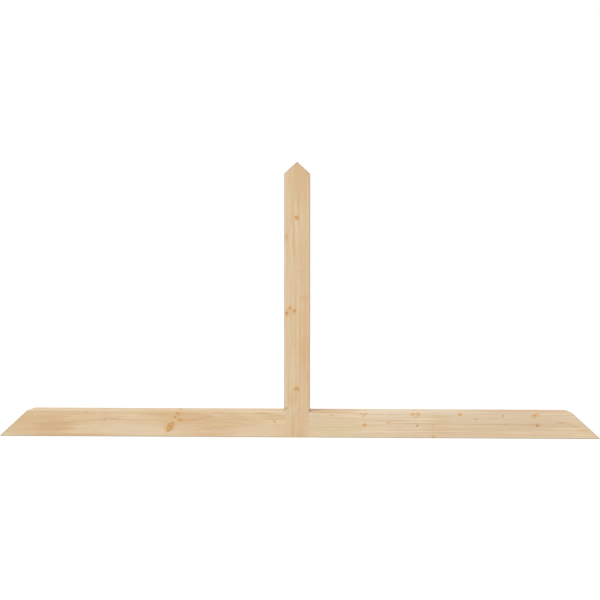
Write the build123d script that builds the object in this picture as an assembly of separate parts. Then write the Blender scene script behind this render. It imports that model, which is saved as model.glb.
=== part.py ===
from build123d import *
import os

# Timber gable bracket: a king post standing on a tie beam, cut to sit under a pitched roof.
# Millimetres. X runs along the tie beam, Y from the front face to the back face, Z up.
# The origin is in the middle of the underside, halfway between front and back.

# Gable that the bracket fits
span = 1828.8  # tip to tip along the underside of the tie beam
roof_rise = 11.0  # the roof climbs by this much
roof_run = 12.0  # over this much level distance

# Planed timber, one section for the post and for the tie beam
timber_face = 78.0  # width of the post and height of the tie beam, seen from the front
timber_depth = 78.0  # front face to back face
arris_radius = 2.5  # easing of the long edges, run round the frame once it is joined

# Joint between the post and the two half beams
housing_depth = 4.0  # how far each half beam is let into the side of the post
dowel_diameter = 16.0
dowel_grip = 60.0  # length of each dowel in one half beam
dowel_spacing = 36.0  # between the centre lines of the upper and the lower dowel
dowel_clearance = 0.1  # glue line all round a dowel, in its hole
dowel_end_gap = 2.0  # room for glue past each end of a dowel
dowel_bevel = 1.5  # bevelled lead at each end of a dowel
flute_count = 8  # glue flutes along a dowel
flute_radius = 1.0

# Worked out from the sizes above
pitch = roof_rise / roof_run
half_span = span / 2
half_post = timber_face / 2
height = half_span * pitch
joint_width = timber_face - 2 * housing_depth  # what is left of the post between the half beams
dowel_length = joint_width + 2 * dowel_grip
dowel_heights = {
    "upper": timber_face / 2 + dowel_spacing / 2,
    "lower": timber_face / 2 - dowel_spacing / 2,
}


def prism(right_half_outline, depth):
    """Solid with an outline in XZ that is the same on both sides of the middle, centred in Y."""
    left_half = [(-x, z) for x, z in reversed(right_half_outline) if x > 0]
    outline = Polyline(*right_half_outline, *left_half, close=True)
    return extrude(Plane.XZ * make_face(outline), depth / 2, both=True)


def eased_frame():
    """The joined frame in one piece, sawn to the roof lines and with its long edges eased."""
    frame = prism(
        [
            (0, 0),
            (half_span, 0),
            (half_span - timber_face / pitch, timber_face),
            (half_post, timber_face),
            (half_post, height - half_post * pitch),
            (0, height),
        ],
        timber_depth,
    )
    long_edges = frame.edges().filter_by(Axis.X) + frame.edges().filter_by(Axis.Z)
    return fillet(long_edges, arris_radius)


def post_envelope():
    """The space that belongs to the post: full width above the beam, narrower where it is housed."""
    half_joint = joint_width / 2
    return prism(
        [
            (0, 0),
            (half_joint, 0),
            (half_joint, timber_face),
            (half_post, timber_face),
            (half_post, height),
            (0, height),
        ],
        timber_depth,
    )


def along_beam(radius, length, z):
    """A round bar of that length along the beam, centred on the post at height z."""
    return Pos(0, 0, z) * Rot(0, 90, 0) * Cylinder(radius, length)


def dowel_holes():
    """The upper and the lower hole, through the post and blind in both half beams."""
    radius = dowel_diameter / 2 + dowel_clearance
    length = dowel_length + 2 * dowel_end_gap
    return [along_beam(radius, length, z) for z in dowel_heights.values()]


def dowel(z):
    """A fluted hardwood dowel with bevelled ends, lying through the joint at height z."""
    pin = Cylinder(dowel_diameter / 2, dowel_length)
    pin = chamfer(pin.edges().filter_by(GeomType.CIRCLE), dowel_bevel)
    flute = Cylinder(flute_radius, dowel_length)
    pin -= PolarLocations(dowel_diameter / 2, flute_count, 180 / flute_count) * flute
    return Pos(0, 0, z) * Rot(0, 90, 0) * pin


def timbers():
    """The three timbers, each with its share of the eased frame and of the dowel holes."""
    frame = eased_frame() - dowel_holes()
    half_beams = (frame - post_envelope()).solids().sort_by(Axis.X)
    return {
        "king_post": frame & post_envelope(),
        "tie_beam_left": half_beams[0],
        "tie_beam_right": half_beams[-1],
    }


nodes = timbers()
for place, z in dowel_heights.items():
    nodes["dowel_" + place] = dowel(z)

os.makedirs("parts", exist_ok=True)
for name, shape in nodes.items():
    export_step(shape, f"parts/{name}.step")
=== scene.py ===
import bmesh
import bpy
import math
from mathutils import Matrix, Vector


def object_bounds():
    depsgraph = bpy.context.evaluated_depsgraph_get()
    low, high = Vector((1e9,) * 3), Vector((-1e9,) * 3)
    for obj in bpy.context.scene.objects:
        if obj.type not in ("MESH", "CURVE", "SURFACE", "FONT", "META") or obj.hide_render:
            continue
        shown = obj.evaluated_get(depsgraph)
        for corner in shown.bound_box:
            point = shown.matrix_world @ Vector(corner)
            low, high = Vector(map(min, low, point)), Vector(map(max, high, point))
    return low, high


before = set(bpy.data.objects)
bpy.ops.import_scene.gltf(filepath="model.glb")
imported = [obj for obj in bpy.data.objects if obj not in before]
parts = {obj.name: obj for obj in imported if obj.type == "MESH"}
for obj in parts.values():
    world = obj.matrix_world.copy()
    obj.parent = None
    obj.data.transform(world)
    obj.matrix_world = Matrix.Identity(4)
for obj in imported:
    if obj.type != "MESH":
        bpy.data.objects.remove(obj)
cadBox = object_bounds()
print("frame loaded:", ", ".join(sorted(parts)))

mmPerMetre = 1000.0
halfSection = round(mmPerMetre * cadBox[1][1], 3)  # from the middle of a timber to its faces


# Small tools

def linearColour(hexColour, alpha=1.0):
    channels = [int(hexColour[i:i + 2], 16) / 255 for i in (1, 3, 5)]
    linear = [c / 12.92 if c <= 0.04045 else ((c + 0.055) / 1.055) ** 2.4 for c in channels]
    return (*linear, alpha)


# Adds one node. Inputs are values, nodes or sockets: a list fills the open sockets in order, and a
# dictionary fills them by name.
def addNode(tree, kind, inputs=(), **settings):
    node = tree.nodes.new("ShaderNode" + kind)
    for name, value in settings.items():
        setattr(node, name, value)
    sockets = [socket for socket in node.inputs if socket.enabled]
    if isinstance(inputs, dict):
        byName = {socket.name: socket for socket in reversed(sockets)}
        pairs = [(byName[name], value) for name, value in inputs.items()]
    else:
        pairs = list(zip(sockets, inputs))
    for socket, value in pairs:
        if isinstance(value, bpy.types.Node):
            value = next(output for output in value.outputs if output.enabled)
        if isinstance(value, bpy.types.NodeSocket):
            tree.links.new(value, socket)
        elif value is not None:
            socket.default_value = value
    return node


# A node group with the named inputs and outputs, and its two end nodes
def newGroup(name, inputs, outputs):
    group = bpy.data.node_groups.new(name, "ShaderNodeTree")
    for side, sockets in (("INPUT", inputs), ("OUTPUT", outputs)):
        for socketName, socketKind in sockets.items():
            group.interface.new_socket(socketName, in_out=side,
                                       socket_type="NodeSocket" + socketKind)
    return group, group.nodes.new("NodeGroupInput"), group.nodes.new("NodeGroupOutput")


# Softwood. The board's own directions are used everywhere: x along it, y across its front face,
# z through it from front to back, in millimetres from the middle of its section.

# One branch that the saw has cut. Place is measured from the middle of the branch where it leaves
# the pith: x in branch radii along the grain, y in radii across, z is 0 at the pith and 1 at the
# face. Marks gathers the three looks of a knot: x its heart, y the dark ring round it, z the
# stained wood beyond. Wood is the board coordinate whose grain shows here, which the knot pushes
# aside.
branchShape = {
    "rootWidth": 0.35,  # its width at the pith, as a share of its width at the face
    "comesUp": 0.2,  # the share of its length over which it comes to show
    "stretch": (0.5, 1.0, 0.0),  # the stain and the pushed grain reach further along the board
    "heartEdge": (1.05, 0.8),  # this and the next ones in branch radii
    "ringPlace": 0.95,
    "ringWidth": 0.28,
    "stainEdge": (1.6, 0.5),
    "pushEdge": (0.6, 2.6),
    "pushShare": 0.75,
    "ownYears": 3.4,  # its own year rings in one radius
    "ownReach": 0.9,  # how far out they show
    "ownLate": 0.45,
    "ownPith": 0.6,
    "pithEdge": (0.2, 0.06),
}


def makeBranch():
    group, given, result = newGroup(
        "branch_in_timber",
        {"Place": "Vector", "Across": "Vector", "Heart": "Float", "Ring": "Float",
         "Stain": "Float", "Marks": "Vector", "Wood": "Vector"},
        {"Marks": "Vector", "Wood": "Vector"},
    )
    place = addNode(group, "SeparateXYZ", [given.outputs["Place"]])
    # The branch is a cone: it grew thicker as the tree did
    cone = addNode(group, "MapRange",
                   [place.outputs["Z"], 0.0, 1.0, branchShape["rootWidth"], 1.0])
    x = addNode(group, "Math", [place.outputs["X"], cone], operation="DIVIDE")
    y = addNode(group, "Math", [place.outputs["Y"], cone], operation="DIVIDE")
    flat = addNode(group, "CombineXYZ", [x, y, 0.0])
    radius = addNode(group, "VectorMath", [flat], operation="LENGTH").outputs["Value"]
    longFlat = addNode(group, "VectorMath", [flat, branchShape["stretch"]], operation="MULTIPLY")
    longRadius = addNode(group, "VectorMath", [longFlat], operation="LENGTH").outputs["Value"]
    outward = addNode(group, "MapRange",
                      [place.outputs["Z"], 0.0, branchShape["comesUp"], 0.0, 1.0])

    heart = addNode(group, "MapRange", [radius, *branchShape["heartEdge"], 0.0, 1.0],
                    interpolation_type="SMOOTHSTEP")
    offRing = addNode(group, "Math", [radius, branchShape["ringPlace"]], operation="SUBTRACT")
    offRing = addNode(group, "Math", [offRing], operation="ABSOLUTE")
    ring = addNode(group, "MapRange", [offRing, branchShape["ringWidth"], 0.0, 0.0, 1.0],
                   interpolation_type="SMOOTHSTEP")
    # The branch's own year rings, and its pith
    ownYear = addNode(group, "Math", [radius, branchShape["ownYears"]], operation="MULTIPLY")
    ownYear = addNode(group, "Math", [ownYear], operation="FRACT")
    ownLate = addNode(group, "MapRange", [ownYear, 0.5, 0.95, 0.0, branchShape["ownLate"]],
                      interpolation_type="SMOOTHSTEP")
    inBranch = addNode(group, "Math", [radius, branchShape["ownReach"]], operation="LESS_THAN")
    ownLate = addNode(group, "Math", [ownLate, inBranch], operation="MULTIPLY")
    ownPith = addNode(group, "MapRange",
                      [radius, *branchShape["pithEdge"], 0.0, branchShape["ownPith"]])
    ring = addNode(group, "Math", [ring, ownLate], operation="MAXIMUM")
    ring = addNode(group, "Math", [ring, ownPith], operation="MAXIMUM")
    stain = addNode(group, "MapRange", [longRadius, *branchShape["stainEdge"], 0.0, 1.0],
                    interpolation_type="SMOOTHSTEP")
    heart = addNode(group, "Math", [heart, given.outputs["Heart"]], operation="MULTIPLY")
    ring = addNode(group, "Math", [ring, given.outputs["Ring"]], operation="MULTIPLY")
    stain = addNode(group, "Math", [stain, given.outputs["Stain"]], operation="MULTIPLY")
    marks = addNode(group, "CombineXYZ", [heart, ring, stain])
    marks = addNode(group, "VectorMath", {"Vector": marks, "Scale": outward}, operation="SCALE")
    marks = addNode(group, "VectorMath", [marks, given.outputs["Marks"]], operation="MAXIMUM")
    group.links.new(marks.outputs[0], result.inputs["Marks"])

    # Grain that would run into the knot parts and passes on both sides of it
    squeeze = addNode(group, "MapRange",
                      [longRadius, *branchShape["pushEdge"], -branchShape["pushShare"], 0.0],
                      interpolation_type="SMOOTHSTEP")
    push = addNode(group, "Math", [place.outputs["Y"], squeeze], operation="MULTIPLY")
    push = addNode(group, "Math", [push, outward], operation="MULTIPLY")
    push = addNode(group, "VectorMath", {"Vector": given.outputs["Across"], "Scale": push},
                   operation="SCALE")
    wood = addNode(group, "VectorMath", [push, given.outputs["Wood"]], operation="ADD")
    group.links.new(wood.outputs[0], result.inputs["Wood"])
    return group


# A soft-edged patch of another tone. Place is measured from its middle, in its half sizes. Streak
# is a noise along the grain: some bundles of fibres carry the tone further than others.
patchShape = {
    "core": 0.35,  # the share of its half sizes up to which the tone is full
    "feather": 0.25,  # how much further or less far a bundle of fibres carries it
    "streakNoise": (0.35, 0.65),  # the part of the noise that is spread over that
}


def makePatch():
    group, given, result = newGroup(
        "tone_patch",
        {"Place": "Vector", "Streak": "Float", "Tone": "Color", "Share": "Float",
         "Colour": "Color"},
        {"Colour": "Color"},
    )
    distance = addNode(group, "VectorMath", [given.outputs["Place"]], operation="LENGTH")
    distance = distance.outputs["Value"]
    reach = patchShape["feather"]
    feather = addNode(group, "MapRange",
                      [given.outputs["Streak"], *patchShape["streakNoise"], -reach, reach])
    distance = addNode(group, "Math", [distance, feather], operation="ADD")
    fade = addNode(group, "MapRange", [distance, 1.0, patchShape["core"], 0.0, 1.0],
                   interpolation_type="SMOOTHSTEP")
    share = addNode(group, "Math", [fade, given.outputs["Share"]], operation="MULTIPLY")
    colour = addNode(group, "Mix", [share, given.outputs["Colour"], given.outputs["Tone"]],
                     data_type="RGBA")
    group.links.new(next(s for s in colour.outputs if s.enabled), result.inputs["Colour"])
    return group


# The hairline where the timbers meet, from the place in the frame in millimetres
jointLine = {
    "housing": 4.0,  # how far each half beam is let into the side of the post
    "width": 0.7,  # a tight joint is 0.2 mm, drawn wider so that it shows
    "core": 0.14,  # it is fully dark as far out as this
}


def makeJointLine():
    group, given, result = newGroup("joint_hairline", {"Place": "Vector"}, {"Line": "Float"})
    place = addNode(group, "SeparateXYZ", [given.outputs["Place"]])
    side = addNode(group, "Math", [place.outputs["X"]], operation="ABSOLUTE")
    halfJoint = halfSection - jointLine["housing"]
    beamTop = 2 * halfSection
    width = jointLine["width"]
    core = jointLine["core"]
    # Upright lines beside the housed part of the post
    offSide = addNode(group, "Math", [side, halfJoint], operation="SUBTRACT")
    offSide = addNode(group, "Math", [offSide], operation="ABSOLUTE")
    upright = addNode(group, "MapRange", [offSide, width, core, 0.0, 1.0])
    below = addNode(group, "Math", [place.outputs["Z"], beamTop + width],
                    operation="LESS_THAN")
    upright = addNode(group, "Math", [upright, below], operation="MULTIPLY")
    # Level lines under the two small shoulders of the post
    offTop = addNode(group, "Math", [place.outputs["Z"], beamTop], operation="SUBTRACT")
    offTop = addNode(group, "Math", [offTop], operation="ABSOLUTE")
    level = addNode(group, "MapRange", [offTop, width, core, 0.0, 1.0])
    outer = addNode(group, "Math", [side, halfSection + width], operation="LESS_THAN")
    inner = addNode(group, "Math", [side, halfJoint], operation="GREATER_THAN")
    level = addNode(group, "Math", [level, outer], operation="MULTIPLY")
    level = addNode(group, "Math", [level, inner], operation="MULTIPLY")
    line = addNode(group, "Math", [upright, level], operation="MAXIMUM")
    group.links.new(line.outputs[0], result.inputs["Line"])
    return group


# The roof lines that cut the ends of the beam and the point of the post, found from the CAD's box
roofCut = {
    "rise": 11.0,
    "run": 12.0,
    "halfSpan": mmPerMetre * cadBox[1][0],
    "sawnShadeWidth": 3.4,  # "sawnShadeWidth": 3.4, # width of a grey band of painted edge shade inside the saw's cut, in mm
}


# How far inside the sawn roof lines a place is, for the band of painted edge shade along them
def makeSawnEdge():
    group, given, result = newGroup("sawn_edge", {"Place": "Vector"}, {"SawnShade": "Float"})
    place = addNode(group, "SeparateXYZ", [given.outputs["Place"]])
    side = addNode(group, "Math", [place.outputs["X"]], operation="ABSOLUTE")
    slope = math.hypot(roofCut["rise"], roofCut["run"])
    fromTip = addNode(group, "Math", [roofCut["halfSpan"], side], operation="SUBTRACT")
    inside = addNode(group, "Math", [fromTip, roofCut["rise"] / slope], operation="MULTIPLY")
    lift = addNode(group, "Math", [place.outputs["Z"], roofCut["run"] / slope],
                   operation="MULTIPLY")
    inside = addNode(group, "Math", [inside, lift], operation="SUBTRACT")
    fur = addNode(group, "MapRange", [inside, roofCut["sawnShadeWidth"], 0.0, 0.0, 1.0])
    group.links.new(fur.outputs[0], result.inputs["SawnShade"])
    return group


branchGroup = makeBranch()
patchGroup = makePatch()
jointGroup = makeJointLine()
sawnEdgeGroup = makeSawnEdge()


# Planed spruce: sawn through the year rings, then planed on all sides, so it is pale and matt with
# fine darker lines along it, warm brown knots, and wider rings of dull wood on the sawn ends.
# Lengths and breadths are in mm, and shares and tones are parts of one. A pair called noise is the
# part of that pattern's noise over which its tone changes.
plainSpruce = {
    "early": "#E3CBA6",  # spring wood
    "late": "#CA9E66",  # the hard line that ends each year
    "warm": "#DAB789",  # slow changes of tone along the board
    "warmNoise": (0.42, 0.72),
    "warmShare": 0.75,
    "zone": (300.0, 52.0),  # their length and breadth
    "pink": "#E1C5A3",
    "pinkNoise": (0.45, 0.7),
    "pinkShare": 0.6,
    "blush": (150.0, 30.0),
    "ringWidth": 4.6,  # a year's growth
    "ringShare": 0.3,
    "endRingShare": 0.75,
    "lateRise": (0.25, 0.9),  # the part of a year over which it darkens, and then ends
    "lateStop": (1.0, 0.92),
    "taper": 0.011,  # how much thinner the trunk gets per mm of its length
    "seasonPace": 0.37,  # good and poor years take turns: how fast, and by how many years' growth
    "seasonReach": 2.2,
    "palestYear": 0.35,
    "wander": (260.0, 70.0, 8.0),  # slow bends of the pith: length, breadth, how far
    "ripple": (90.0, 16.0, 0.8),  # the small ones
    "streak": (230.0, 5.5),  # bundles of fibres: length and breadth
    "streakNoise": (0.3, 0.7),
    "streakTone": (0.93, 1.06),
    "fibre": (30.0, 0.7),
    "fibreNoise": (0.25, 0.75),
    "fibreTone": (0.91, 1.09),
    "canals": (13.0, 1.5),  # resin canals, fine brown ticks: how far apart along and across
    "canalEdge": (0.1, 0.28),
    "canalTone": 0.84,
    "unevenScale": 0.15,  # outlines of knots and patches aren't true: waves in a mm, and how far
    "unevenReach": 3.0,
    "knotHeart": "#D7A055",
    "knotRing": "#A3682E",
    "knotStain": "#D9A868",
    "mottle": 4.5,  # size of the blotches in a knot
    "mottleNoise": (0.35, 0.65),
    "mottleLeast": (0.65, 0.2, 0.6),  # what they leave of its heart, its ring and its stain
    "mottleMost": (1.15, 1.5, 1.2),
    "endLean": (0.35, 0.6),  # a face that leans this far along the board is a sawn end
    "endTone": "#CFA878",
    "endShare": 0.5,
    "sawStep": 2.6,  # between the arcs that the saw's teeth leave on an end
    "sawWaver": 3.0,
    "sawTone": (0.965, 1.035),
    "gap": "#7A5A3A",
    "gapShare": 0.28,
    "edgeShadeTone": "#A39A8C",  # "arris": "#A39A8C", # painted shade on the eased edges, a neutral grey
    "easedLean": (0.03, 0.28),  # where an eased edge begins, and where it is halfway round
    # how strongly painted shade greys the band along a sawn cut
    "sawnShadeShare": 0.6,
    "shadeStretch": (70.0, 9.0),  # "handled": (70.0, 9.0), # stretches where the painted edge shade is darker or lighter: length and breadth
    "shadeStretchNoise": (0.35, 0.65),
    "shadeStretchTone": (0.55, 1.15),
    "plankRough": 0.56,
    "endRough": 0.8,
    "knotGloss": -0.14,  # resin makes the knots a little glossier
    "ior": 1.5,
    "relief": 0.00022,  # height of the late wood over the early wood, in metres
    "reliefShare": 0.5,
    "fibreRelief": 0.7,  # these three beside the late wood's 1
    "knotRelief": 0.8,
    "sawRelief": 0.25,
}

# How strongly a knot shows, where its row doesn't say
usualKnot = {"heart": 0.8, "ring": 0.5, "stain": 0.4}

noiseMiddle = (0.5, 0.5, 0.5)  # taken off a noise, so that it pushes both ways


# Turns board coordinates into places round a knot, for a branch from the pith to where it shows
def branchFrame(timber, knot):
    shows = Vector(knot["at"])
    root = Vector((shows.x, *timber["pith"]))
    if "behind" in knot:
        root = shows + Vector((0.0, 0.0, knot["behind"]))
    if "root" in knot:
        root = Vector(knot["root"])
    outward = shows - root
    length = outward.length
    outward.normalize()
    grain = Vector((1.0, 0.0, 0.0))
    along = (grain - outward * outward.dot(grain)).normalized()
    across = outward.cross(along)
    turn = Matrix((along, across, outward)).transposed().to_euler("XYZ")
    return root, turn, Vector((knot["long"], knot["wide"], length)), across * knot["wide"]


def planedSpruce(timber):
    look = {**plainSpruce, **timber.get("look", {})}
    material = bpy.data.materials.new(timber["material"])
    material.use_nodes = True
    tree = material.node_tree
    tree.nodes.clear()

    # Board coordinates in millimetres
    coordinates = addNode(tree, "TexCoord")
    inFrame = addNode(tree, "VectorMath",
                      {"Vector": coordinates.outputs["Object"], "Scale": mmPerMetre},
                      operation="SCALE")
    framePlace = addNode(tree, "SeparateXYZ", [inFrame])
    frameNormal = addNode(tree, "SeparateXYZ", [coordinates.outputs["Normal"]])
    board = addNode(tree, "CombineXYZ", [framePlace.outputs[axis] for axis in timber["axes"]])
    board = addNode(tree, "VectorMath", [board, (0.0, timber["middle"], 0.0)],
                    operation="SUBTRACT")
    normals = [frameNormal.outputs[axis] for axis in timber["axes"]]
    normalAlong, normalAcross, normalThrough = normals
    inLog = addNode(tree, "VectorMath", [board, (timber["logPlace"], 0.0, 0.0)], operation="ADD")

    # Knots
    rough = addNode(tree, "VectorMath", {"Vector": inLog, "Scale": look["unevenScale"]},
                    operation="SCALE")
    rough = addNode(tree, "TexNoise", {"Vector": rough, "Scale": 1.0, "Detail": 1.0})
    rough = addNode(tree, "VectorMath", [rough.outputs["Color"], noiseMiddle],
                    operation="SUBTRACT")
    rough = addNode(tree, "VectorMath", {"Vector": rough, "Scale": look["unevenReach"]},
                    operation="SCALE")
    # Each branch starts from the wood as the ones before it have pushed it
    wood = addNode(tree, "VectorMath", [board, rough], operation="ADD").outputs[0]
    marks = None
    for knot in timber["knots"]:
        root, turn, size, across = branchFrame(timber, knot)
        place = addNode(tree, "Mapping", [wood, tuple(root), tuple(turn), tuple(size)],
                        vector_type="TEXTURE")
        shares = {mark.title(): knot.get(mark, usual) for mark, usual in usualKnot.items()}
        branch = addNode(tree, "Group",
                         {"Place": place, "Across": across, "Marks": marks, "Wood": wood,
                          **shares},
                         node_tree=branchGroup, label=knot["name"])
        marks = branch.outputs["Marks"]
        wood = branch.outputs["Wood"]

    # Noise drawn out along the board, for each pattern that has a length and a breadth
    noises = {}
    for pattern in ("wander", "ripple", "zone", "blush", "streak", "fibre", "shadeStretch"):
        length, breadth = look[pattern][:2]
        stretched = addNode(tree, "VectorMath", [inLog, (1 / length, 1 / breadth, 1 / breadth)],
                            operation="MULTIPLY")
        noises[pattern] = addNode(tree, "TexNoise",
                                  {"Vector": stretched, "Scale": 1.0, "Detail": 2.0})

    # Year rings round a pith that wanders
    grown = addNode(tree, "VectorMath", [wood, rough], operation="SUBTRACT")
    for pattern in ("wander", "ripple"):
        reach = look[pattern][2]
        bend = addNode(tree, "VectorMath", [noises[pattern].outputs["Color"], noiseMiddle],
                       operation="SUBTRACT")
        bend = addNode(tree, "VectorMath", [bend, (0.0, 2 * reach, 2 * reach)],
                       operation="MULTIPLY")
        grown = addNode(tree, "VectorMath", [grown, bend], operation="ADD")
    fromPith = addNode(tree, "VectorMath", [grown, (0.0, *timber["pith"])], operation="SUBTRACT")
    crossSection = addNode(tree, "VectorMath", [fromPith, (0.0, 1.0, 1.0)], operation="MULTIPLY")
    ringRadius = addNode(tree, "VectorMath", [crossSection], operation="LENGTH").outputs["Value"]
    alongBoard = addNode(tree, "SeparateXYZ", [fromPith]).outputs["X"]
    tapered = addNode(tree, "Math", [alongBoard, look["taper"], ringRadius],
                      operation="MULTIPLY_ADD")
    years = addNode(tree, "Math", [tapered, 1 / look["ringWidth"]], operation="MULTIPLY")
    # Good and poor years in turn
    seasons = addNode(tree, "TexNoise", {"W": years, "Scale": look["seasonPace"], "Detail": 1.0},
                      noise_dimensions="1D")
    years = addNode(tree, "Math", [seasons.outputs[0], look["seasonReach"], years],
                    operation="MULTIPLY_ADD")
    inYear = addNode(tree, "Math", [years], operation="FRACT")
    year = addNode(tree, "Math", [years], operation="FLOOR")
    rise = addNode(tree, "MapRange", [inYear, *look["lateRise"], 0.0, 1.0],
                   interpolation_type="SMOOTHSTEP")
    stop = addNode(tree, "MapRange", [inYear, *look["lateStop"], 0.0, 1.0],
                   interpolation_type="SMOOTHSTEP")
    late = addNode(tree, "Math", [rise, stop], operation="MULTIPLY")
    yearTone = addNode(tree, "TexWhiteNoise", {"W": year}, noise_dimensions="1D")
    yearTone = addNode(tree, "MapRange",
                       [yearTone.outputs["Value"], 0.0, 1.0, look["palestYear"], 1.0])
    late = addNode(tree, "Math", [late, yearTone], operation="MULTIPLY")

    # Sawn ends show the rings stronger
    alongness = addNode(tree, "Math", [normalAlong], operation="ABSOLUTE")
    endGrain = addNode(tree, "MapRange", [alongness, *look["endLean"], 0.0, 1.0],
                       interpolation_type="SMOOTHSTEP")
    ringShare = addNode(tree, "MapRange",
                        [endGrain, 0.0, 1.0, look["ringShare"], look["endRingShare"]])
    lateShare = addNode(tree, "Math", [late, ringShare], operation="MULTIPLY")

    # Wood tone
    warmth = addNode(tree, "MapRange",
                     [noises["zone"], *look["warmNoise"], 0.0, look["warmShare"]],
                     interpolation_type="SMOOTHSTEP")
    blush = addNode(tree, "MapRange",
                    [noises["blush"], *look["pinkNoise"], 0.0, look["pinkShare"]],
                    interpolation_type="SMOOTHSTEP")
    early = addNode(tree, "Mix", [warmth, linearColour(look["early"]), linearColour(look["warm"])],
                    data_type="RGBA")
    early = addNode(tree, "Mix", [blush, early, linearColour(look["pink"])], data_type="RGBA")
    colour = addNode(tree, "Mix", [lateShare, early, linearColour(look["late"])], data_type="RGBA")
    streakTone = addNode(tree, "MapRange",
                         [noises["streak"], *look["streakNoise"], *look["streakTone"]])
    fibreTone = addNode(tree, "MapRange",
                        [noises["fibre"], *look["fibreNoise"], *look["fibreTone"]])
    canalLength, canalWidth = look["canals"]
    ticks = addNode(tree, "VectorMath", [inLog, (1 / canalLength, 1 / canalWidth, 1 / canalWidth)],
                    operation="MULTIPLY")
    ticks = addNode(tree, "TexVoronoi", {"Vector": ticks, "Scale": 1.0})
    tickTone = addNode(tree, "MapRange",
                       [ticks.outputs["Distance"], *look["canalEdge"], look["canalTone"], 1.0],
                       interpolation_type="SMOOTHSTEP")
    tones = addNode(tree, "Math", [streakTone, fibreTone], operation="MULTIPLY")
    tones = addNode(tree, "Math", [tones, tickTone], operation="MULTIPLY")
    colour = addNode(tree, "VectorMath", {"Vector": colour, "Scale": tones}, operation="SCALE")

    # Patches of another tone: most are the wood's own, a few are painted shade or painted
    # highlight
    for patch in timber["patches"]:
        tilt = (0.0, 0.0, math.radians(patch.get("tilt", 0)))
        place = addNode(tree, "Mapping", [wood, patch["at"], tilt, patch["half"]],
                        vector_type="TEXTURE")
        colour = addNode(tree, "Group",
                         {"Place": place, "Streak": noises["streak"], "Colour": colour,
                          "Tone": linearColour(patch["tone"]), "Share": patch["share"]},
                         node_tree=patchGroup, label=patch["name"])

    # Knots over the grain, darker on one side than on the other and never one even brown
    mottle = addNode(tree, "VectorMath", {"Vector": inLog, "Scale": 1 / look["mottle"]},
                     operation="SCALE")
    mottle = addNode(tree, "TexNoise", {"Vector": mottle, "Scale": 1.0, "Detail": 3.0})
    least, most = [(level, level, level) for level in look["mottleNoise"]]
    mottle = addNode(tree, "MapRange",
                     [mottle.outputs["Color"], least, most, look["mottleLeast"],
                      look["mottleMost"]], data_type="FLOAT_VECTOR")
    marks = addNode(tree, "VectorMath", [marks, mottle], operation="MULTIPLY")
    marks = addNode(tree, "VectorMath", [marks, (1.0, 1.0, 1.0)], operation="MINIMUM")
    knotMarks = addNode(tree, "SeparateXYZ", [marks])
    for mark, tone in (("Z", "knotStain"), ("X", "knotHeart"), ("Y", "knotRing")):
        colour = addNode(tree, "Mix", [knotMarks.outputs[mark], colour, linearColour(look[tone])],
                         data_type="RGBA")

    # Sawn ends, joints, and painted shade on the edges
    endShare = addNode(tree, "Math", [endGrain, look["endShare"]], operation="MULTIPLY")
    colour = addNode(tree, "Mix", [endShare, colour, linearColour(look["endTone"])],
                     data_type="RGBA")
    # The round blade leaves faint arcs on the ends, all round where its axle was
    fromAxle = addNode(tree, "VectorMath", [board, timber["sawAxle"]], operation="SUBTRACT")
    fromAxle = addNode(tree, "VectorMath", [fromAxle], operation="LENGTH").outputs["Value"]
    arcs = addNode(tree, "Math", [noises["streak"], look["sawWaver"], fromAxle],
                   operation="MULTIPLY_ADD")
    arcs = addNode(tree, "Math", [arcs, math.tau / look["sawStep"]], operation="MULTIPLY")
    arcs = addNode(tree, "Math", [arcs], operation="SINE")
    arcs = addNode(tree, "Math", [arcs, endGrain], operation="MULTIPLY")
    arcTone = addNode(tree, "MapRange", [arcs, -1.0, 1.0, *look["sawTone"]])
    colour = addNode(tree, "VectorMath", {"Vector": colour, "Scale": arcTone}, operation="SCALE")
    joint = addNode(tree, "Group", {"Place": inFrame}, node_tree=jointGroup)
    jointShare = addNode(tree, "Math", [joint, look["gapShare"]], operation="MULTIPLY")
    colour = addNode(tree, "Mix", [jointShare, colour, linearColour(look["gap"])],
                     data_type="RGBA")
    # On an eased edge the normal leans both across and through: one product for each pair of edges
    lean = addNode(tree, "Math", [normalAcross, normalThrough], operation="MULTIPLY")
    starts, full = look["easedLean"]
    oneShare, otherShare = timber["edgeShadeShares"]
    onePair = addNode(tree, "MapRange", [lean, starts, full, 0.0, oneShare])
    otherPair = addNode(tree, "MapRange", [lean, -starts, -full, 0.0, otherShare])
    edgeShade = addNode(tree, "Math", [onePair, otherPair], operation="ADD")
    # Painted edge shade along the sawn roof cuts, on the planed faces only
    sawn = addNode(tree, "Group", {"Place": inFrame}, node_tree=sawnEdgeGroup)
    plankOnly = addNode(tree, "Math", [look["sawnShadeShare"], endGrain], operation="SUBTRACT")
    plankOnly = addNode(tree, "Math", [plankOnly, 0.0], operation="MAXIMUM")
    edgeShade = addNode(tree, "Math", [sawn, plankOnly, edgeShade], operation="MULTIPLY_ADD")
    shadeStretch = addNode(tree, "MapRange",
                      [noises["shadeStretch"], *look["shadeStretchNoise"], *look["shadeStretchTone"]])
    edgeShade = addNode(tree, "Math", [edgeShade, shadeStretch], operation="MULTIPLY")
    # Painted shade: the eased edges and the band along the sawn cuts turn grey
    colour = addNode(tree, "Mix", [edgeShade, colour, linearColour(look["edgeShadeTone"])], data_type="RGBA")

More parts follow.
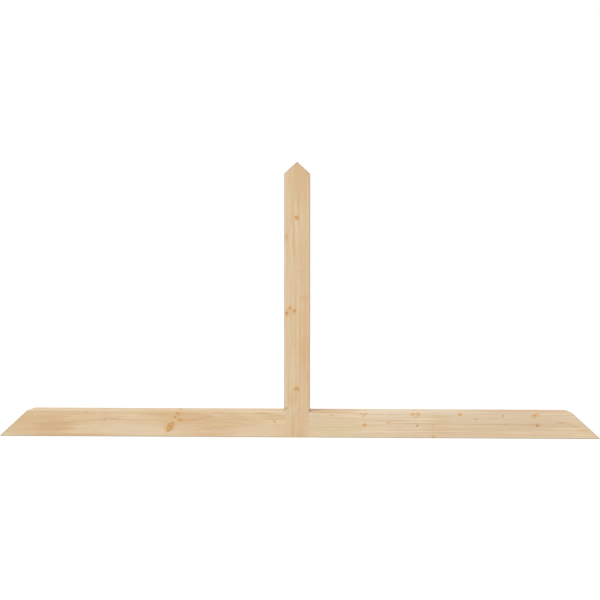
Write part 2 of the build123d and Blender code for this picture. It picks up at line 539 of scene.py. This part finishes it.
    # Surface
    roughness = addNode(tree, "MapRange",
                        [endGrain, 0.0, 1.0, look["plankRough"], look["endRough"]])
    roughness = addNode(tree, "Math", [knotMarks.outputs["X"], look["knotGloss"], roughness],
                        operation="MULTIPLY_ADD")
    height = addNode(tree, "Math", [noises["fibre"], look["fibreRelief"], late],
                     operation="MULTIPLY_ADD")
    height = addNode(tree, "Math", [knotMarks.outputs["X"], look["knotRelief"], height],
                     operation="MULTIPLY_ADD")
    height = addNode(tree, "Math", [arcs, look["sawRelief"], height], operation="MULTIPLY_ADD")
    bump = addNode(tree, "Bump", {"Strength": look["reliefShare"], "Distance": look["relief"],
                                  "Height": height})
    surface = addNode(tree, "BsdfPrincipled", {"Base Color": colour, "Roughness": roughness,
                                               "IOR": look["ior"], "Normal": bump})
    addNode(tree, "OutputMaterial", {"Surface": surface})
    return material


# The three timbers. Each knot is placed where it shows on the board, with its half length and half
# width, and each patch by its middle and half sizes. The edge shares say how strongly painted
# shade greys the eased edges: on the post left front with right back, then right front with left
# back, and on the beams lower front with upper back, then upper front with lower back.

# Where a board's own z meets its two large faces
front = -halfSection
back = halfSection

# King post. Its pith runs a little left of the middle. Its whorls of branches come out above the
# beam, half way up and under the point.
kingPost = {
    "node": "king_post",
    "material": "planed_spruce_post",
    "axes": "ZXY",
    "middle": 0.0,
    "logPlace": 400.0,
    "pith": (-14.0, -12.0),
    "sawAxle": (770.0, 10.0, -150.0),
    "edgeShadeShares": (1.0, 0.2),
    "look": {"early": "#DFC6A0", "ringShare": 0.24},
    "knots": [
        {"name": "upper", "at": (668, -1, front), "long": 5, "wide": 6.5, "heart": 0.9,
         "ring": 0.5, "stain": 0.5},
        {"name": "left edge", "at": (609, -31, front), "behind": 40, "long": 5, "wide": 3.5,
         "heart": 0.35, "ring": 0.25, "stain": 0.4},
        {"name": "whorl left", "at": (377, -31, front), "long": 5, "wide": 3.5, "ring": 0.6,
         "stain": 0.6},
        {"name": "whorl top", "at": (393, -22, front), "long": 4, "wide": 4, "heart": 0.9,
         "ring": 0.7, "stain": 0.4},
        {"name": "whorl right", "at": (384, -8, front), "root": (376, -22, -24), "long": 3.5,
         "wide": 4, "heart": 0.95, "ring": 0.8, "stain": 0.7},
        {"name": "lower", "at": (147, -1, front), "long": 5, "wide": 6.5, "heart": 0.9,
         "ring": 0.5, "stain": 0.5},
        {"name": "grey pin", "at": (506, 6, front), "long": 2.5, "wide": 3, "heart": 0.1,
         "ring": 0.3, "stain": 0.0},
        {"name": "back whorl left", "at": (381, -24, back), "long": 9, "wide": 8, "heart": 0.7,
         "ring": 0.8},
        {"name": "back whorl right", "at": (388, 20, back), "long": 6, "wide": 7, "heart": 0.95,
         "ring": 0.4},
        {"name": "right side whorl", "at": (390, halfSection, 2), "long": 8, "wide": 9,
         "heart": 0.6, "ring": 0.8},
        {"name": "left side whorl", "at": (386, -halfSection, 14), "long": 6, "wide": 5,
         "ring": 0.8},
        {"name": "back high", "at": (664, 12, back), "long": 5, "wide": 6, "heart": 0.6,
         "ring": 0.3},
        {"name": "left side high", "at": (671, -halfSection, -6), "long": 4, "wide": 4.5,
         "heart": 0.9, "ring": 0.9},
        {"name": "right side low", "at": (152, halfSection, -14), "long": 8, "wide": 5.5,
         "heart": 0.6},
        {"name": "back low", "at": (150, -6, back), "long": 10, "wide": 7, "heart": 0.65,
         "ring": 0.3},
    ],
    "patches": [
        {"name": "tan right edge", "at": (275, 22, front), "half": (70, 28, 30), "tone": "#D2A268",
         "share": 0.45},
        {"name": "tan point", "at": (790, 14, front), "half": (150, 50, 60), "tone": "#D3AB78",
         "share": 0.45},
        {"name": "pink right half", "at": (450, 34, front), "half": (420, 40, 50),
         "tone": "#DDB896", "share": 0.35},
        {"name": "yellow left edge", "at": (480, -38, front), "half": (700, 14, 20),
         "tone": "#DDC08A", "share": 0.4},
        {"name": "round the whorl", "at": (383, -20, front), "half": (26, 26, 20),
         "tone": "#DDB078", "share": 0.4},
        # Painted highlight: a pale line along the post's left eased edge, on the side the lamp
        # lights
        {"name": "painted highlight on the left edge", "at": (450, -35.5, front), "half": (800, 3.2, 20),
         "tone": "#EFDDB8", "share": 0.5},
        {"name": "orange shoulder", "at": (806, 31, front), "half": (14, 10, 20),
         "tone": "#D9A26C", "share": 0.4},
        {"name": "streak by right edge", "at": (182, 31, front), "half": (25, 2.8, 16),
         "tone": "#CF9552", "share": 0.55},
        {"name": "resin over the shoulder", "at": (88, -33, front), "half": (5, 7, 6),
         "tone": "#C48A45", "share": 0.6},
        {"name": "tan foot", "at": (30, 12, front), "half": (70, 44, 40), "tone": "#D3AE80",
         "share": 0.22},
        {"name": "tan over the foot", "at": (114, -12, front), "half": (34, 18, 20),
         "tone": "#CFA36C", "share": 0.3},
        {"name": "yellow over the foot", "at": (355, 12, front), "half": (55, 16, 20),
         "tone": "#D2A96E", "share": 0.3},
        {"name": "orange by the whorl", "at": (423, 20, front), "half": (14, 20, 20),
         "tone": "#D9A86C", "share": 0.35},
        {"name": "tan under the knot", "at": (600, -9, front), "half": (80, 9, 20),
         "tone": "#D0A469", "share": 0.35},
        # Painted shade in the inner corner where the post's right side meets the beam's top
        {"name": "painted shade in the corner", "at": (81, 40, -10), "half": (7, 5, 60), "tone": "#7B5F45",
         "share": 0.4},
    ],
}

# Left half beam. The saw has cut one branch along its length, which leaves the long slanting knot.
leftBeam = {
    "node": "tie_beam_left",
    "material": "planed_spruce_left",
    "axes": "XZY",
    "middle": halfSection,
    "logPlace": 5200.0,
    "pith": (20.0, -8.0),
    "sawAxle": (-960.0, 110.0, -70.0),
    "edgeShadeShares": (0.7, 0.05),
    "knots": [
        {"name": "long slanting", "at": (-386, -7, front), "root": (-367, 24, -21), "long": 7.5,
         "wide": 8, "heart": 0.85, "ring": 0.6, "stain": 0.6},
        {"name": "whorl right", "at": (-357, 12.5, front), "long": 5, "wide": 3.5, "ring": 0.7,
         "stain": 0.6},
        {"name": "whorl left", "at": (-372, 21, front), "long": 3.5, "wide": 3, "heart": 0.95,
         "ring": 0.9, "stain": 0.6},
        {"name": "whorl upper", "at": (-364, 31.5, front), "behind": 30, "long": 4, "wide": 5,
         "ring": 0.4, "stain": 0.6},
        {"name": "whorl top", "at": (-365, halfSection, 14), "long": 4.5, "wide": 9, "heart": 1.0,
         "ring": 1.0},
        {"name": "pin", "at": (-589, 11, front), "long": 2.5, "wide": 3.5, "heart": 0.6,
         "ring": 0.3, "stain": 0.2},
        {"name": "near post", "at": (-68, 10, front), "long": 3.5, "wide": 3.5, "heart": 0.6,
         "ring": 0.3, "stain": 0.2},
        {"name": "back whorl", "at": (-360, -4, back), "long": 12, "wide": 10, "heart": 0.7,
         "ring": 0.8, "stain": 0.5},
        {"name": "back whorl high", "at": (-371, 28, back), "long": 5, "wide": 4.5, "heart": 0.95,
         "ring": 0.9},
        {"name": "under whorl", "at": (-362, -halfSection, 4), "long": 9, "wide": 8},
        {"name": "back outer", "at": (-702, 19, back), "long": 4.5, "wide": 4.5, "heart": 0.9,
         "ring": 0.9},
        {"name": "back inner", "at": (-107, -16, back), "long": 7, "wide": 4, "heart": 0.45,
         "ring": 0.2},
        {"name": "top outer", "at": (-600, halfSection, 6), "long": 6, "wide": 5},
        {"name": "under outer", "at": (-640, -halfSection, -8), "long": 7, "wide": 6},
    ],
    "patches": [
        {"name": "tan", "at": (-748, -10, front), "half": (90, 26, 30), "tone": "#CFA36C",
         "share": 0.5},
        {"name": "tan lower edge", "at": (-700, -33, front), "half": (200, 5, 20),
         "tone": "#D8A46C", "share": 0.45},
        {"name": "tan middle", "at": (-270, -33, front), "half": (120, 5, 20), "tone": "#D8A46C",
         "share": 0.45},
        {"name": "yellow streak", "at": (-645, 34, front), "half": (14, 3.5, 12),
         "tone": "#CFA050", "share": 0.5},
        {"name": "orange lens", "at": (-105, 34, front), "half": (45, 4, 20), "tone": "#D09C64",
         "share": 0.5},
        {"name": "pale lower half", "at": (-470, -20, front), "half": (200, 24, 30),
         "tone": "#E7D6BC", "share": 0.4},
        {"name": "pale by the post", "at": (-120, -18, front), "half": (110, 24, 30),
         "tone": "#E7D3B8", "share": 0.4},
        {"name": "tan by the whorl", "at": (-370, 20, front), "half": (90, 22, 30),
         "tone": "#D3A86C", "share": 0.32},
        {"name": "tan by the post", "at": (-67, 22, front), "half": (60, 14, 20),
         "tone": "#CFAA72", "share": 0.35},
        {"name": "dull end", "at": (-820, 0, front), "half": (150, 60, 60), "tone": "#D3B78C",
         "share": 0.3},
        # Painted highlight: a pale line along the beam's lower front edge
        {"name": "painted highlight on the lower edge", "at": (-290, -35.5, front), "half": (400, 2.8, 20),
         "tone": "#EBD8B8", "share": 0.5},
    ],
}

# Right half beam. A paler board with its pith close behind the front face, so a row of pin knots
# runs along its middle.
rightBeam = {
    "node": "tie_beam_right",
    "material": "planed_spruce_right",
    "axes": "XZY",
    "middle": halfSection,
    "logPlace": 9100.0,
    "pith": (3.0, -22.0),
    "sawAxle": (960.0, 110.0, -70.0),
    "edgeShadeShares": (0.7, 0.05),
    "look": {"early": "#E6D3B4", "warm": "#DFC29B", "pink": "#E5CDB2", "ringShare": 0.22,
             "taper": 0.004, "wander": (420.0, 90.0, 4.0), "ripple": (200.0, 20.0, 0.6)},
    "knots": [
        {"name": "pin 1", "at": (205, 0, front), "long": 4.5, "wide": 4, "heart": 0.75,
         "ring": 0.4, "stain": 0.5},
        {"name": "pin 2", "at": (365, -1, front), "long": 3, "wide": 3.4, "heart": 0.8,
         "ring": 0.9, "stain": 0.2},
        {"name": "pin 3", "at": (413, -1, front), "long": 2.6, "wide": 2.6, "heart": 0.4,
         "ring": 0.3, "stain": 0.1},
        {"name": "pin 4", "at": (514, 0, front), "long": 2.6, "wide": 2.6, "heart": 0.3,
         "ring": 0.3, "stain": 0.0},
        {"name": "pin 5", "at": (631, 2, front), "long": 2.6, "wide": 2.6, "heart": 0.3,
         "ring": 0.2, "stain": 0.0},
        {"name": "dark pin", "at": (726, 1, front), "long": 4.5, "wide": 3.8, "heart": 0.8,
         "ring": 0.9, "stain": 0.3},
        {"name": "upper 1", "at": (352, 33, front), "behind": 40, "long": 5, "wide": 4.5,
         "heart": 0.4, "ring": 0.1, "stain": 0.55},
        {"name": "upper 2", "at": (367, 33, front), "behind": 40, "long": 4, "wide": 4.5,
         "heart": 0.4, "ring": 0.35, "stain": 0.4},
        {"name": "smear left", "at": (194, 34, front), "behind": 40, "long": 3.5, "wide": 3,
         "heart": 0.45, "ring": 0.1, "stain": 0.4},
        {"name": "smear right", "at": (210, 34, front), "behind": 40, "long": 3.5, "wide": 3,
         "heart": 0.45, "ring": 0.1, "stain": 0.4},
        {"name": "upper tail", "at": (360, 26, front), "behind": 40, "long": 3.5, "wide": 5,
         "heart": 0.3, "ring": 0.1, "stain": 0.4},
        {"name": "upper 3", "at": (493, 33, front), "behind": 40, "long": 4, "wide": 5,
         "heart": 0.6, "ring": 0.2, "stain": 0.5},
        {"name": "upper 4", "at": (622, 29, front), "behind": 40, "long": 2, "wide": 4.5,
         "heart": 0.5, "ring": 0.8, "stain": 0.1},
        {"name": "upper 5", "at": (717, 30, front), "behind": 40, "long": 5.5, "wide": 6,
         "heart": 0.5, "ring": 0.1, "stain": 0.6},
        {"name": "upper 6", "at": (727, 34, front), "behind": 40, "long": 3.5, "wide": 2.5,
         "ring": 0.2, "stain": 0.4},
        {"name": "upper 7", "at": (105, 29, front), "behind": 40, "long": 3.5, "wide": 2.5,
         "heart": 0.4, "ring": 0.2, "stain": 0.3},
        {"name": "lower edge", "at": (413, -34, front), "behind": 40, "long": 4.5, "wide": 5,
         "heart": 0.45, "ring": 0.2, "stain": 0.4},
        {"name": "faint", "at": (542, 19, front), "behind": 40, "long": 4.5, "wide": 3,
         "heart": 0.4, "ring": 0.15, "stain": 0.4},
        {"name": "back 1", "at": (210, 8, back), "long": 9, "wide": 10, "heart": 0.7,
         "ring": 0.8},
        {"name": "back 2", "at": (431, -20, back), "long": 5, "wide": 5.5, "heart": 0.9,
         "ring": 0.9},
        {"name": "back 3", "at": (722, 13, back), "long": 11, "wide": 7.5, "heart": 0.6,
         "stain": 0.5},
        {"name": "top 1", "at": (362, halfSection, 12), "long": 6, "wide": 6},
        {"name": "top 2", "at": (724, halfSection, 4), "long": 7, "wide": 6},
        {"name": "under 1", "at": (206, -halfSection, -2), "long": 7, "wide": 6},
        {"name": "under 2", "at": (560, -halfSection, 12), "long": 8, "wide": 8},
    ],
    "patches": [
        {"name": "pith line", "at": (505, 3.6, front), "half": (430, 1.8, 12), "tilt": -0.25,
         "tone": "#B58A5A", "share": 0.42},
        {"name": "resin streak", "at": (276, 7.5, front), "half": (16, 3.2, 12), "tone": "#CF9B5C",
         "share": 0.7},
        {"name": "end streak", "at": (797, 9, front), "half": (24, 3.4, 12), "tone": "#C98F48",
         "share": 0.75},
        {"name": "end streak tail", "at": (834, 0, front), "half": (34, 4.5, 12), "tilt": -20,
         "tone": "#CFA060", "share": 0.5},
        {"name": "yellow tip", "at": (864, -11, front), "half": (26, 7, 12), "tone": "#D6A865",
         "share": 0.45},
        {"name": "smear", "at": (203, 28, front), "half": (9, 8, 12), "tone": "#C69E76",
         "share": 0.55},
        {"name": "outer part", "at": (650, 12, front), "half": (330, 60, 60), "tone": "#D3BC9A",
         "share": 0.45},
        {"name": "pink lower edge", "at": (610, -36, front), "half": (350, 20, 30),
         "tone": "#E0BEA2", "share": 0.25},
        # Painted highlight: a pale line along the beam's lower front edge
        {"name": "painted highlight on the lower edge", "at": (470, -35.5, front), "half": (600, 2.8, 20),
         "tone": "#EBDABE", "share": 0.5},
        {"name": "by the post", "at": (90, -6, front), "half": (210, 46, 40), "tone": "#D8BE92",
         "share": 0.5},
        {"name": "yellow middle", "at": (425, 2, front), "half": (60, 36, 20), "tone": "#D9B275",
         "share": 0.3},
        # Partly warmer wood, partly painted shade of the post, with its warm bounce, on the top
        # face beside it
        {"name": "warm wood and painted shade by the post", "at": (110, halfSection, 0), "half": (130, 6, 90),
         "tone": "#D3A472", "share": 0.6},
        {"name": "warm top", "at": (700, halfSection, 0), "half": (270, 6, 60), "tone": "#CBA27A",
         "share": 0.7},
        # Painted shade in the inner corner where the beam's top meets the post's right side
        {"name": "painted shade in the corner", "at": (40, 42, -10), "half": (4, 7, 60), "tone": "#7B5F45",
         "share": 0.25},
    ],
}

for timber in (kingPost, leftBeam, rightBeam):
    piece = parts[timber["node"]]
    spruce = planedSpruce(timber)
    for slot in piece.material_slots:
        slot.material = spruce
    print("planed:", timber["node"], "with", len(timber["knots"]), "knots")


# Turned beech: close, even and pinkish brown, with short darker flecks along the dowel
dowels = {
    "nodes": ("dowel_upper", "dowel_lower"),
    "pale": "#CDA678",
    "fleck": "#A9794C",
    "fleckLength": 3.0,  # mm
    "fleckWidth": 0.5,
    "fleckNoise": (0.5, 0.75),
    "fleckShare": 0.8,
    "rough": 0.5,
    "ior": 1.5,
    "relief": 0.0001,  # metres
    "reliefShare": 0.3,
}


def turnedBeech():
    material = bpy.data.materials.new("turned_beech")
    material.use_nodes = True
    tree = material.node_tree
    tree.nodes.clear()
    coordinates = addNode(tree, "TexCoord")
    length = mmPerMetre / dowels["fleckLength"]
    width = mmPerMetre / dowels["fleckWidth"]
    stretched = addNode(tree, "VectorMath",
                        [coordinates.outputs["Object"], (length, width, width)],
                        operation="MULTIPLY")
    flecks = addNode(tree, "TexNoise", {"Vector": stretched, "Scale": 1.0, "Detail": 2.0})
    share = addNode(tree, "MapRange",
                    [flecks.outputs[0], *dowels["fleckNoise"], 0.0, dowels["fleckShare"]])
    colour = addNode(tree, "Mix",
                     [share, linearColour(dowels["pale"]), linearColour(dowels["fleck"])],
                     data_type="RGBA")
    bump = addNode(tree, "Bump", {"Strength": dowels["reliefShare"],
                                  "Distance": dowels["relief"], "Height": flecks})
    surface = addNode(tree, "BsdfPrincipled", {"Base Color": colour, "Roughness": dowels["rough"],
                                               "IOR": dowels["ior"], "Normal": bump})
    addNode(tree, "OutputMaterial", {"Surface": surface})
    return material


beech = turnedBeech()
for name in dowels["nodes"]:
    for slot in parts[name].material_slots:
        slot.material = beech
print("turned:", ", ".join(dowels["nodes"]))


# Studio: a pale floor and a pale room, lit all round, with a large soft lamp up on the left
studio = {
    "floorSize": 14.0,  # metres
    "floorSquares": 8,
    "floorTone": "#D8D8D8",
    "floorLift": 0.40,  # makes the lit floor white to the camera, and leaves the shadow on it
    "roomLight": 0.82,
    "lampAngle": 28.0,  # degrees across, as a large diffuser would be
    "lampPower": 1.2,
    "lampTurn": -50.0,  # left of the front
    "lampHeight": 31.0,
}


def seenWhite(tree):
    path = addNode(tree, "LightPath")
    seen = addNode(tree, "Math", [path.outputs["Is Camera Ray"], path.outputs["Is Glossy Ray"]],
                   operation="MAXIMUM")
    return addNode(tree, "Math", [seen, path.outputs["Is Transmission Ray"]], operation="MAXIMUM")


def paleFloor():
    mesh = bpy.data.meshes.new("studio_floor")
    build = bmesh.new()
    squares = studio["floorSquares"]
    bmesh.ops.create_grid(build, x_segments=squares, y_segments=squares,
                          size=studio["floorSize"] / 2)
    build.to_mesh(mesh)
    build.free()
    floor = bpy.data.objects.new("studio_floor", mesh)
    bpy.context.scene.collection.objects.link(floor)
    floor.location.z = cadBox[0][2]
    material = bpy.data.materials.new("matt_pale_floor")
    material.use_nodes = True
    tree = material.node_tree
    tree.nodes.clear()
    matt = addNode(tree, "BsdfDiffuse", {"Color": linearColour(studio["floorTone"])})
    lift = addNode(tree, "Emission", {"Strength": studio["floorLift"]})
    seen = addNode(tree, "AddShader", [matt, lift])
    mixed = addNode(tree, "MixShader", [seenWhite(tree), matt, seen])
    addNode(tree, "OutputMaterial", {"Surface": mixed})
    mesh.materials.append(material)


def paleRoom():
    world = bpy.data.worlds.new("pale_room")
    bpy.context.scene.world = world
    world.use_nodes = True
    tree = world.node_tree
    tree.nodes.clear()
    white = linearColour("#FFFFFF")
    light = addNode(tree, "Background", {"Color": white, "Strength": studio["roomLight"]})
    backdrop = addNode(tree, "Background", {"Color": white, "Strength": 1.0})
    mixed = addNode(tree, "MixShader", [seenWhite(tree), light, backdrop])
    addNode(tree, "OutputWorld", {"Surface": mixed})


def softLamp():
    lamp = bpy.data.lights.new("soft_lamp", "SUN")
    lamp.energy = studio["lampPower"]
    lamp.angle = math.radians(studio["lampAngle"])
    holder = bpy.data.objects.new("soft_lamp", lamp)
    tip = math.radians(90 - studio["lampHeight"])
    holder.rotation_euler = (tip, 0, math.radians(studio["lampTurn"]))
    bpy.context.scene.collection.objects.link(holder)


paleFloor()
paleRoom()
softLamp()
print("studio lit")


# Camera, as the photograph's own perspective places it
viewpoint = {
    "place": (0.0844, -2.571, 0.4178),
    "tip": 90.0,  # degrees up from straight down, so it looks level
    "roll": -0.038,
    "turn": 1.7012,  # towards the left end
    "lens": 50.0,  # mm
    "sensor": 36.0,
}

camera = bpy.data.cameras.new("camera")
camera.lens = viewpoint["lens"]
camera.sensor_width = viewpoint["sensor"]
holder = bpy.data.objects.new("camera", camera)
holder.location = viewpoint["place"]
holder.rotation_euler = [math.radians(viewpoint[angle]) for angle in ("tip", "roll", "turn")]
bpy.context.scene.collection.objects.link(holder)
bpy.context.scene.camera = holder
bpy.context.scene.view_settings.view_transform = "Standard"
print("camera placed")
